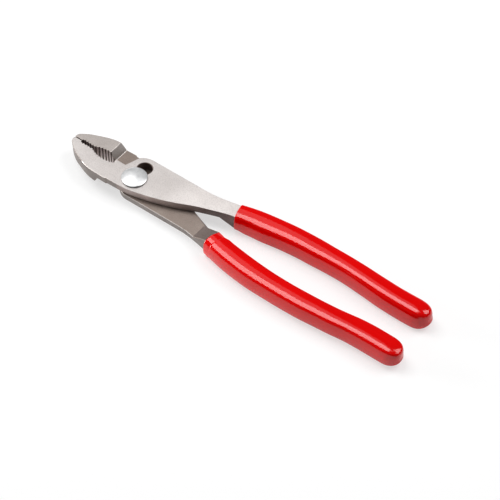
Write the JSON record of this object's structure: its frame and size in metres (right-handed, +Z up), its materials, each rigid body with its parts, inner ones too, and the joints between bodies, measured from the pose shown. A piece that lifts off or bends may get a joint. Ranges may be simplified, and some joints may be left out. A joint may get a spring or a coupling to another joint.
{
  "type": "slip joint pliers",
  "caption": "Slip joint pliers with a toothed pipe grip, a wire shear throat, a domed pivot bolt in a stepped slot and dipped red grips on bowed handles.",
  "frame": {"origin": "pivot axis on the plane that the tool lies on", "axes": "+X towards the ends of the handles, +Y towards the upper half's handle, +Z up through the bolt's head"},
  "size_m": [0.2521, 0.05, 0.0155],
  "materials": {
    "steel": "satin ground faces, darker forged sides",
    "bolt": "polished",
    "nut": "satin",
    "grip": "glossy dipped vinyl"
  },
  "bodies": {
    "upper_arm": {"upper_half": "steel", "upper_grip": "grip"},
    "pivot": {"pivot_bolt": "bolt", "pivot_nut": "nut"},
    "lower_arm": {"lower_half": "steel", "lower_grip": "grip"}
  },
  "joints": [
    {"name": "slip", "type": "slide", "parent": "upper_arm", "child": "pivot", "axis": [0, 1, 0], "range_m": [0, 0.0098]},
    {"name": "pivot_hinge", "type": "hinge", "parent": "pivot", "child": "lower_arm", "pos_m": [0, 0, 0.0068], "axis": [0, 0, -1], "range_deg": [0, 75]}
  ]
}
